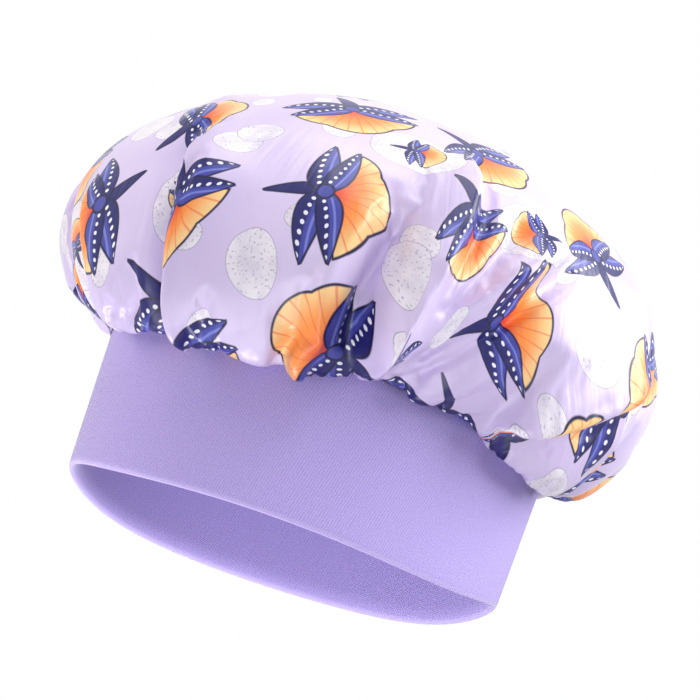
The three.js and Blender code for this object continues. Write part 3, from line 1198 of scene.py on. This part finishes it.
def make_blossom_group():
    inputs = {"Spot": (0.0, 0.0, 0.0), "Length": 1.0}
    outputs = {"Inside": "Float", "Way": "Float", "Rib": "Float"}
    tree, w, given, end = new_group("Fan blossom", inputs, outputs)
    x, y, _ = w.split(given["Spot"])
    reach = w.vector("LENGTH", given["Spot"])
    angle = w.absolute(w.math("ARCTAN2", x, y))
    wave = w.absolute(w.math("COSINE", w.times(angle, fan_scallops / 2)))
    edge = w.times(w.plus(1 - scallop_depth, w.times(wave, scallop_depth)), given["Length"])
    beside = w.times(w.minus(fan_half_angle, angle), reach)
    w.feed(end["Inside"], w.math("MINIMUM", w.minus(edge, reach), beside))
    w.feed(end["Way"], w.over(reach, given["Length"]))
    rib = w.absolute(w.math("SINE", w.times(angle, ribs_in_scallop * fan_scallops)))
    w.feed(end["Rib"], rib)
    return tree


blossom_group = make_blossom_group()
print(len(blossom_group.nodes), "nodes in the blossom")

# %% [markdown]
# The whole sprig is laid down ink by ink, as a printer does: first the stem, then the lower leaves, the
# upper leaves and the blossom. Left and right are mirrored, so one leaf gives a pair.

# %% The sprig
ink_outline = srgb(12, 8, 62)
ink_dark = srgb(28, 26, 100)
ink_mid = srgb(66, 70, 160)
ink_light = srgb(118, 126, 210)
ink_white = srgb(240, 240, 252)
ink_red = srgb(232, 74, 42)
ink_orange = srgb(251, 148, 72)
ink_yellow = srgb(253, 214, 150)
outline_width = 0.035
edge_softness = 0.012
light_row = -0.42
dot_row = 0.25
dots_on_leaf = 8.0
dot_slimness = 0.7
leaf_base = -0.12
blossom_base = -0.1
cup_radius = 0.11


def lay_ink(w, below, covered, inside, ink):
    """Prints a shape with its outline over what lies below it."""
    outline = w.ease(inside, -outline_width - edge_softness, -outline_width + edge_softness)
    fill = w.ease(inside, -edge_softness, edge_softness)
    colour = w.blend(fill, w.blend(outline, below, ink_outline), ink)
    return colour, w.math("MAXIMUM", covered, outline)


def leaf_ink(w, leaf):
    """Dark on one side of the midrib and lighter on the other, with a row of white dots."""
    colour = w.blend(w.ease(leaf["Across"], -0.1, 0.12), ink_mid, ink_dark)
    glow = w.ease(w.absolute(w.minus(leaf["Across"], light_row)), 0.16, 0.04)
    colour = w.blend(glow, colour, ink_light)
    step = w.minus(w.math("FRACT", w.times(leaf["Way"], dots_on_leaf)), 0.5)
    spot = w.join(w.times(step, dot_slimness), w.minus(leaf["Across"], dot_row))
    dots = w.ease(w.vector("LENGTH", spot), 0.2, 0.13)
    return w.blend(dots, colour, ink_white)


def make_sprig_group():
    outputs = {"Colour": "Color", "Covered": "Float"}
    tree, w, given, end = new_group("Sprig", {"Spot": (0.0, 0.0, 0.0)}, outputs)
    x, y, _ = w.split(given["Spot"])
    mirrored = w.join(w.absolute(x), w.minus(y, leaf_base))
    stem = w.group(leaf_group, Spot=given["Spot"], Turn=3.3, Length=0.95, Half_Width=0.1, Bend=-0.2)
    lower = w.group(leaf_group, Spot=mirrored, Turn=1.95, Length=0.98, Half_Width=0.21, Bend=-0.3)
    upper = w.group(leaf_group, Spot=mirrored, Turn=1.05, Length=0.98, Half_Width=0.17, Bend=0.22)
    from_blossom_base = w.join(x, w.minus(y, blossom_base))
    blossom = w.group(blossom_group, Spot=from_blossom_base, Length=0.95)
    cup = w.minus(cup_radius, w.vector("LENGTH", from_blossom_base))
    colour, covered = lay_ink(w, ink_outline, 0.0, stem["Inside"], ink_dark)
    colour, covered = lay_ink(w, colour, covered, lower["Inside"], leaf_ink(w, lower))
    petal = w.blend(w.ease(blossom["Way"], 0.15, 0.6), ink_red, ink_orange)
    petal = w.blend(w.ease(blossom["Way"], 0.55, 1.0), petal, ink_yellow)
    rib_line = w.times(w.ease(blossom["Rib"], 0.3, 0.05), 0.55)
    petal = w.blend(rib_line, petal, ink_red)
    colour, covered = lay_ink(w, colour, covered, blossom["Inside"], petal)
    colour, covered = lay_ink(w, colour, covered, upper["Inside"], leaf_ink(w, upper))
    colour, covered = lay_ink(w, colour, covered, cup, ink_mid)
    w.feed(end["Colour"], colour)
    w.feed(end["Covered"], covered)
    return tree


sprig_group = make_sprig_group()
print(len(sprig_group.nodes), "nodes in the sprig")

# %% [markdown]
# ## Tossing the motifs
#
# In a tossed print the motifs lie every way up, one to each cell of a hidden grid. A group finds the
# cell, and gives the place in it, shifted and turned by random numbers that belong to the cell.

# %% Cells of the print
cells_in_repeat = 6.0


def make_toss_group():
    inputs = {"Place": (0.0, 0.0, 0.0), "Cell": 0.05, "Shift": 0.0, "Jitter": 0.1, "Seed": 0.0}
    outputs = {"Spot": "Vector", "Size Chance": "Float"}
    tree, w, given, end = new_group("Toss", inputs, outputs)
    shift = w.join(given["Shift"], given["Shift"])
    place = w.vector("ADD", w.scaled(given["Place"], w.over(1.0, given["Cell"])), shift)
    cell = w.vector("FLOOR", place)
    repeated = w.vector("WRAP", cell, (cells_in_repeat, cells_in_repeat, 1.0), (0.0, 0.0, 0.0))
    seeded = w.vector("ADD", repeated, w.join(given["Seed"], 0.0))
    chance = w.node("TexWhiteNoise", seeded, noise_dimensions="3D")
    first, second, third = w.split(chance.outputs["Color"])
    middle = w.vector("SUBTRACT", w.vector("SUBTRACT", place, cell), (0.5, 0.5, 0.0))
    jitter = w.join(
        w.times(w.minus(first, 0.5), given["Jitter"]),
        w.times(w.minus(second, 0.5), given["Jitter"]),
    )
    spot = w.turned(w.vector("ADD", middle, jitter), w.times(third, 2 * math.pi))
    w.feed(end["Spot"], w.scaled(spot, given["Cell"]))
    w.feed(end["Size Chance"], w.math("FRACT", w.times(w.plus(first, second), 7.0)))
    return tree


toss_group = make_toss_group()
print(f"the toss repeats after {cells_in_repeat:.0f} cells")

# %% [markdown]
# ## The pebbles
#
# Pale speckled pebbles lie between the sprigs in two sizes. Each is an oval that narrows to one end,
# and its line is printed under its fill. The scales count noise patches in a metre of cloth.

# %% Pebbles and their stone
pebble_light = srgb(238, 233, 242)
pebble_dark = srgb(219, 213, 229)
pebble_line = srgb(158, 150, 178)
pebble_speckle = srgb(176, 170, 194)
pebble_line_width = 0.3 * MM
pebble_slimness = 1.28
pebble_point = 0.12
pebble_mottles = 130.0
pebble_speckles = 1100.0
speckle_cover = 0.8


def pebble_stone(w, place):
    """Mottled stone with dark speckles."""
    mottle = w.ease(w.noise(place, pebble_mottles, 3.0), 0.35, 0.7)
    speckle = w.ease(w.noise(place, pebble_speckles, 0.0), 0.66, 0.74)
    stone = w.blend(mottle, pebble_light, pebble_dark)
    return w.blend(w.times(speckle, speckle_cover), stone, pebble_speckle)


def lay_pebble(w, below, tossed, stone, least, most):
    """Prints one egg-shaped pebble in each cell over what lies below it."""
    size = w.plus(w.times(tossed["Size Chance"], most - least), least)
    x, y, _ = w.split(tossed["Spot"])
    oval_place = w.join(w.times(x, pebble_slimness), w.plus(y, w.times(w.absolute(x), pebble_point)))
    inside = w.minus(size, w.vector("LENGTH", oval_place))
    line = w.ease(inside, -pebble_line_width, 0.0)
    fill = w.ease(inside, 0.0, 0.5 * pebble_line_width)
    return w.blend(fill, w.blend(line, below, pebble_line), stone), size


# %% [markdown]
# ## The printed satin
#
# Satin is woven with long floats, so its face is smooth and its highlights are broad and soft. The print
# lies in the cloth and doesn't change the shine. It could be a picture laid on the disc, but drawn by
# nodes it stays sharp from near by and needs no file. It is laid in four layers: small pebbles, large
# pebbles, a small sprig on the largest of these, and the large sprigs.

# %% The print, layer by layer
cell_size = 58 * MM
sprig_half_size = 25 * MM
pebble_least = 8 * MM
pebble_most = 19 * MM
small_cell_size = 40 * MM
small_pebble_least = 4.5 * MM
small_pebble_most = 9 * MM
small_sprig_share = 0.62
ground_light = srgb(219, 205, 240)
ground_dark = srgb(205, 190, 229)
ground_patches = 14.0


def make_print_group():
    tree, w, given, end = new_group("Print", {"Place": (0.0, 0.0, 0.0)}, {"Colour": "Color"})
    place = given["Place"]
    colour = w.blend(w.ease(w.noise(place, ground_patches), 0.35, 0.65), ground_light, ground_dark)

    stone = pebble_stone(w, place)
    tossed = w.group(toss_group, Place=place, Cell=small_cell_size, Shift=0.3, Jitter=0.5, Seed=41.0)
    colour, _ = lay_pebble(w, colour, tossed, stone, small_pebble_least, small_pebble_most)
    tossed = w.group(toss_group, Place=place, Cell=cell_size, Shift=0.5, Jitter=0.16, Seed=17.0)
    colour, pebble_size = lay_pebble(w, colour, tossed, stone, pebble_least, pebble_most)

    unit = w.over(1.0, w.times(pebble_size, small_sprig_share))
    small = w.group(sprig_group, Spot=w.scaled(tossed["Spot"], unit))
    large_enough = w.math("GREATER_THAN", tossed["Size Chance"], 0.5)
    colour = w.blend(w.times(small["Covered"], large_enough), colour, small["Colour"])

    tossed = w.group(toss_group, Place=place, Cell=cell_size, Shift=0.0, Jitter=0.12, Seed=3.0)
    large = w.group(sprig_group, Spot=w.scaled(tossed["Spot"], 1 / sprig_half_size))
    w.feed(end["Colour"], w.blend(large["Covered"], colour, large["Colour"]))
    return tree


print_group = make_print_group()
print(len(print_group.nodes), "nodes in the print's own network")

# %% [markdown]
# Satin that is gathered keeps fine creases, which run from the seam towards the middle of the disc and
# die out on the way. Modelled, they would need a far finer mesh, so they are a bump: noise that is
# narrow round the disc and long towards its middle. The lining gets the same group.

# %% Fine creases
crease_width = 5 * MM
crease_stretch = 0.16
creases_start = 60 * MM
creases_full = 190 * MM
rumple_patches = 60.0
rumple_share = 0.35


def make_creases_group():
    tree, w, given, end = new_group("Gathered creases", {"Place": (0.0, 0.0, 0.0)}, {"Height": "Float"})
    from_middle = w.vector("LENGTH", given["Place"])
    round_disc = w.scaled(w.vector("NORMALIZE", given["Place"]), creases_full)
    along = w.join(0.0, 0.0, w.times(from_middle, crease_stretch))
    crease = w.noise(w.vector("ADD", round_disc, along), 1 / crease_width, 1.5)
    strength = w.ease(from_middle, creases_start, creases_full)
    rumple = w.times(w.noise(given["Place"], rumple_patches, 3.0), rumple_share)
    w.feed(end["Height"], w.plus(w.times(crease, strength), rumple))
    return tree


creases_group = make_creases_group()
print(f"the creases are about {1000 * crease_width:.0f} mm wide")

# %% The printed satin
crease_strength = 0.6
crease_depth = 1.0 * MM
satin_print, w, shader = new_material(
    "satin_print", 0.28, Specular_IOR_Level=0.48, Sheen_Weight=0.03, Sheen_Roughness=0.4
)
cloth_place = w.cloth_place()
creases = w.group(creases_group, Place=cloth_place)["Height"]
printed = w.group(print_group, Place=cloth_place)["Colour"]
lay_surface(w, shader, printed, creases, crease_strength, crease_depth)
print(len(satin_print.node_tree.nodes), "nodes in the printed satin, two of them groups")

# %% [markdown]
# ## The other cloths
#
# The lining is the same satin without a print, with painted shade in its creases. The knit of the band is
# matt, with fine slanting lines of stitches and a painted highlight along the fold at its rim. The elastic
# is ribbed lengthwise, with painted shade between its ribs. Modelled, the stitches would need millions of
# faces, and nobody sees them in the outline, so they are a bump and a change of colour: painted shade in
# the grooves between them, and the yarn's own tone, which differs at random.

# %% Plain satin
# the lining is darker in its creases and lighter on their ridges: painted shade and light that follow the
# creases' relief
lining_painted_light = srgb(200, 184, 235)
lining_painted_crease_shade = srgb(190, 173, 227)
satin_plain, w, shader = new_material("satin_plain", 0.4, Sheen_Weight=0.1)
creases = w.group(creases_group, Place=w.cloth_place())["Height"]
# painted shade: the colour darkens where the creases' relief is low
plain_with_painted_crease_shade = w.blend(w.ease(creases, 0.2, 0.9), lining_painted_crease_shade, lining_painted_light)
lay_surface(w, shader, plain_with_painted_crease_shade, creases, crease_strength, crease_depth)
print(len(satin_plain.node_tree.nodes), "nodes in the plain satin")

# %% The knit
# lighter on the stitches and darker in the grooves between them, which is painted light and shade, with the
# yarn's own tone that differs at random
knit_tone_and_painted_light = srgb(200, 184, 242)
knit_tone_and_painted_shade = srgb(160, 143, 212)
# a painted highlight: a lighter colour laid in a strip along the fold at the rim
knit_rim_painted_highlight = srgb(202, 187, 240)
rim_highlight_half_width = 2.6 * MM
wale_spacing = 1.0 * MM
wale_slant = math.radians(12)
wale_unevenness = 4.2
uneven_patches = 900.0
stitch_spacing = 0.8 * MM
weave_share = 0.36
fuzz_patches = 1700.0
fuzz_share = 1.35
knit_relief = 0.2 * MM


def make_knit_group():
    inputs = {"Place": (0.0, 0.0, 0.0)}
    outputs = {"Colour": "Color", "Height": "Float"}
    tree, w, given, end = new_group("Slanting knit", inputs, outputs)
    across, along, _ = w.split(w.turned(given["Place"], wale_slant))
    uneven = w.times(w.noise(given["Place"], uneven_patches, 1.0), wale_unevenness)
    wale = w.math("SINE", w.plus(w.times(across, 2 * math.pi / wale_spacing), uneven))
    stitch = w.math("SINE", w.times(along, 2 * math.pi / stitch_spacing))
    weave = w.plus(w.times(wale, 0.55), w.times(stitch, 0.3))
    fuzz = w.noise(given["Place"], fuzz_patches, 2.0)
    height = w.plus(w.times(weave, weave_share), w.times(fuzz, fuzz_share))
    w.feed(end["Height"], height)
    _, from_fold, _ = w.split(given["Place"])
    # the painted highlight along the fold at the rim, mixed in at half strength
    fold = w.ease(w.absolute(from_fold), rim_highlight_half_width, 0.6 * rim_highlight_half_width)
    # painted shade in the grooves between the stitches, and the yarn's random tone from the fuzz
    colour = w.blend(w.ease(height, 0.1, 1.3), knit_tone_and_painted_shade, knit_tone_and_painted_light)
    w.feed(end["Colour"], w.blend(w.times(fold, 0.5), colour, knit_rim_painted_highlight))
    return tree


knit_group = make_knit_group()
knit, w, shader = new_material("knit", 0.8, Sheen_Weight=0.3, Sheen_Roughness=0.5)
knitted = w.group(knit_group, Place=w.cloth_place())
lay_surface(w, shader, knitted["Colour"], knitted["Height"], 0.65, knit_relief)
print(f"the wales are {1000 * wale_spacing:.1f} mm apart and lean {math.degrees(wale_slant):.0f} degrees")

# %% Elastic
rib_spacing = 1.6 * MM
rib_relief = 0.2 * MM
# the webbing's colour follows its ribs: painted light on their crests and painted shade in the grooves
# between them
web_painted_rib_light = srgb(240, 236, 246)
web_painted_groove_shade = srgb(214, 208, 224)
elastic_web, w, shader = new_material("elastic_web", 0.75)
_, height, _ = w.split(w.cloth_place())
rib = w.math("SINE", w.times(height, 2 * math.pi / rib_spacing))
# painted light and shade that follow the ribs' relief
lay_surface(w, shader, w.blend(w.ease(rib, -0.6, 0.6), web_painted_groove_shade, web_painted_rib_light), rib, 0.5, rib_relief)
print(f"the webbing has {(elastic_high.z - elastic_low.z) / rib_spacing:.0f} ribs")

# %% [markdown]
# Spun thread shows its strands, which lean across it, and a little lint. The raw edges below it are cut
# yarns pressed together, so they get the same group with wider and darker strands.

# %% Thread and raw edges
strand_lean = 0.7
strand_unevenness = 2.5
lint_patches = 900.0
strand_relief = 0.1 * MM


def make_spun_group():
    inputs = {"Place": (0.0, 0.0, 0.0), "Spacing": 0.4 * MM}
    outputs = {"Strand": "Float", "Lint": "Float"}
    tree, w, given, end = new_group("Spun thread", inputs, outputs)
    x, y, z = w.split(given["Place"])
    leaning = w.plus(w.plus(x, y), w.times(z, strand_lean))
    lint = w.noise(given["Place"], lint_patches, 3.0)
    turns = w.over(w.times(leaning, 2 * math.pi), given["Spacing"])
    uneven = w.times(lint, strand_unevenness)
    w.feed(end["Strand"], w.math("SINE", w.plus(turns, uneven)))
    w.feed(end["Lint"], lint)
    return tree


spun_group = make_spun_group()


def spun_material(name, light, dark, spacing, roughness):
    """A material of spun strands, with painted light where a strand stands up and painted shade between
    strands, and lighter where lint lies on it.
    """
    material, w, shader = new_material(name, roughness, Sheen_Weight=0.15)
    place = w.node("TexCoord").outputs["Object"]
    spun = w.group(spun_group, Place=place, Spacing=spacing)
    height = w.plus(spun["Strand"], spun["Lint"])
    lay_surface(w, shader, w.blend(w.ease(height, -0.6, 1.5), dark, light), height, 0.5, strand_relief)
    return material


# each pair goes from painted shade between the strands to painted light where a strand stands up; the lint
# is lighter in its own colour
thread_painted_light_and_lint = srgb(214, 203, 241)
thread_painted_shade = srgb(178, 163, 217)
edge_painted_light_and_lint = srgb(198, 183, 233)
edge_painted_shade = srgb(160, 144, 205)
thread = spun_material("thread", thread_painted_light_and_lint, thread_painted_shade, spacing=0.4 * MM, roughness=0.5)
raw_edges = spun_material("raw_edges", edge_painted_light_and_lint, edge_painted_shade, spacing=0.7 * MM, roughness=0.75)
print(len(spun_group.nodes), "nodes in the spun thread's group")

# %% Which piece gets which
pieces = [
    (band_cover, knit, "band_cover", "knit"),
    (band_elastic, elastic_web, "band_elastic", "elastic_web"),
    (seam_allowance, raw_edges, "seam_allowance", "overlock"),
    (crown_satin, satin_print, "crown_satin", "satin_print"),
    (crown_lining, satin_plain, "crown_lining", "satin_plain"),
    (overlock_thread, thread, None, "overlock"),
    (closing_seam_thread, thread, None, "overlock"),
]
for piece, material, _, _ in pieces:
    piece.data.materials.append(material)
print(len(pieces), "pieces in", len({material.name for _, material, _, _ in pieces}), "materials")

# %% [markdown]
# ## What rides on what
#
# The bonnet is one soft thing with no joints, so every piece rides on the one body. The plain solids of
# the CAD model stay for collisions, and each is hidden by the piece that stands for it. The threads are
# too fine for CAD, so they stand for no solid.

# %% Rides and replaced solids
for piece, _, node, slot in pieces:
    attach(piece, "root")
    if node:
        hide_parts(node)
        print(piece.name, "stands for", node)

# %% [markdown]
# ## The cut of each cloth
#
# The crown and its lining are cut as flat discs, the lining a little smaller because it lies inside, and
# the band as one straight strip that is folded over the elastic.

# %% Flat sizes
lining_cut_share = 0.95
for piece, reach, rest in [
    (crown_satin, crown_reach, "band_cover_knit"),
    (crown_lining, lining_cut_share * crown_reach, "seam_allowance_edges"),
]:
    print(piece.name, "is cut as a disc", round(2 * reach, 3), "m wide")

# %% [markdown]
# ## The camera
#
# The bonnet is seen from the side and a little from below, so that the opening shows, and the picture
# is turned, so that the band slopes down to the right.

# %% The camera
camera_elevation = math.radians(-15.145)
camera_roll = math.radians(19.105)
camera_distance = 1.3
camera_lens = 159.8
bonnet_middle_z = 95 * MM
aim_right = 0.45 * MM
aim_down = 2.18 * MM
look = Vector((0, math.cos(camera_elevation), -math.sin(camera_elevation)))
level = Vector((1, 0, 0))
upright = level.cross(look)
right = level * math.cos(camera_roll) + upright * math.sin(camera_roll)
up = upright * math.cos(camera_roll) - level * math.sin(camera_roll)
aim = Vector((0, 0, bonnet_middle_z)) + right * aim_right - up * aim_down
camera_data = bpy.data.cameras.new("camera")
camera_data.lens = camera_lens
camera = add_object("camera", camera_data)
placed = Matrix((right, up, -look)).transposed().to_4x4()
placed.translation = aim - look * camera_distance
camera.matrix_world = placed
bpy.context.scene.camera = camera
print("the camera is at", [round(value, 3) for value in camera.matrix_world.translation])

# %% [markdown]
# ## The floor
#
# The bonnet rests on a plain pale floor. The camera looks up from below the floor's level, so the floor
# lets the eye and the light through from below, as a sheet of glass does. From above it is matt and
# shows the bonnet's shadow, and it fades into the white round it before its edge comes.

# %% The floor
floor_half_size = 1.0
floor_fade_start = 0.25
floor_fade_end = 0.8
floor_gap = 0.2 * MM


def make_floor():
    edge = floor_half_size
    corners = [(-edge, -edge), (edge, -edge), (edge, edge), (-edge, edge)]
    mesh = bpy.data.meshes.new("floor")
    mesh.from_pydata([(x, y, -floor_gap) for x, y in corners], [], [range(4)])
    return add_object("floor", mesh)


def make_floor_material():
    material, w, shader = new_material("floor_paint", 0.9, Specular_IOR_Level=0.1)
    shader.inputs["Base Color"].default_value = srgb(236, 235, 238)
    place = w.node("NewGeometry").outputs["Position"]
    near = w.minus(1.0, w.ease(w.vector("LENGTH", place), floor_fade_start, floor_fade_end))
    from_above = w.minus(1.0, w.node("NewGeometry").outputs["Backfacing"])
    seen = w.times(from_above, w.node("LightPath").outputs["Is Camera Ray"])
    clear = w.node("BsdfTransparent").outputs[0]
    mixed = w.node("MixShader", w.times(seen, near), clear, shader.outputs[0])
    end = material.node_tree.nodes["Material Output"]
    w.feed(end.inputs["Surface"], mixed.outputs[0])
    return material


floor = make_floor()
floor.data.materials.append(make_floor_material())
print(f"the floor is {2 * floor_half_size:.0f} m wide and fades out from {floor_fade_start} m")

# %% [markdown]
# ## The lamps
#
# Broad soft lamps suit satin, because its highlight is a blurred picture of the lamp. The key stands
# on the right and gives the folds their bright ridges. Weaker lamps on the left, above and low in front
# lift the rest, and a small one under the opening stands for the light that a pale table throws up into
# the band. The left lamp is kept out of reflections, where it would lay a veil over the dark inks.

# %% The lamps
lamp_distance = 1.2
white_lamp = (1.0, 1.0, 1.0)
warm_lamp = (1.0, 0.97, 0.84)
bonnet_middle = Vector((0, 0, bonnet_middle_z))
inside_middle = Vector((0, 20 * MM, 60 * MM))


def add_lamp(name, turn, height, size, power, colour=white_lamp, distance=lamp_distance, aim=bonnet_middle):
    """A square lamp; turn goes from the front to the right, and height up from level, in degrees."""
    turn = math.radians(turn)
    height = math.radians(height)
    level_part = math.cos(height)
    direction = Vector((math.sin(turn) * level_part, -math.cos(turn) * level_part, math.sin(height)))
    data = bpy.data.lights.new(name, "AREA")
    data.size = size
    data.energy = power
    data.color = colour
    lamp = add_object(name, data)
    lamp.location = aim + direction * distance
    lamp.rotation_euler = direction.to_track_quat("Z", "Y").to_euler()
    return lamp


add_lamp("key_lamp", turn=74, height=33, size=1.0, power=20)
add_lamp("top_lamp", turn=-15, height=68, size=0.9, power=7.5)
left_lamp = add_lamp("left_lamp", turn=-90, height=16, size=0.8, power=8.8, colour=warm_lamp)
left_lamp.visible_glossy = False
add_lamp("low_lamp", turn=-14, height=-46, size=0.9, power=7)
add_lamp("inside_lamp", turn=-70, height=-78, size=0.14, power=0.68, distance=0.33, aim=inside_middle)
print(len(bpy.data.lights), "lamps,", round(sum(lamp.energy for lamp in bpy.data.lights), 1), "watts in all")

# %% [markdown]
# ## The white around it
#
# The world is pure white to the camera and in reflections, and a weaker, slightly violet light for
# everything else. The pale cloth then keeps its own colour in its shaded folds.

# %% The world and the view
white = (1, 1, 1, 1)
soft_light = (0.29, 0.277, 0.31, 1)


def make_world():
    world = bpy.data.worlds.new("studio")
    world.use_nodes = True
    w = Wiring(world.node_tree)
    rays = w.node("LightPath").outputs
    seen = w.math("MAXIMUM", rays["Is Camera Ray"], rays["Is Glossy Ray"])
    seen = w.math("MAXIMUM", seen, rays["Is Transmission Ray"])
    w.feed(world.node_tree.nodes["Background"].inputs["Color"], w.blend(seen, soft_light, white))
    return world


bpy.context.scene.world = make_world()
bpy.context.scene.view_settings.view_transform = "Standard"
print(f"the world lights the bonnet with {np.mean(soft_light[:3]):.2f} of the white that the camera sees")
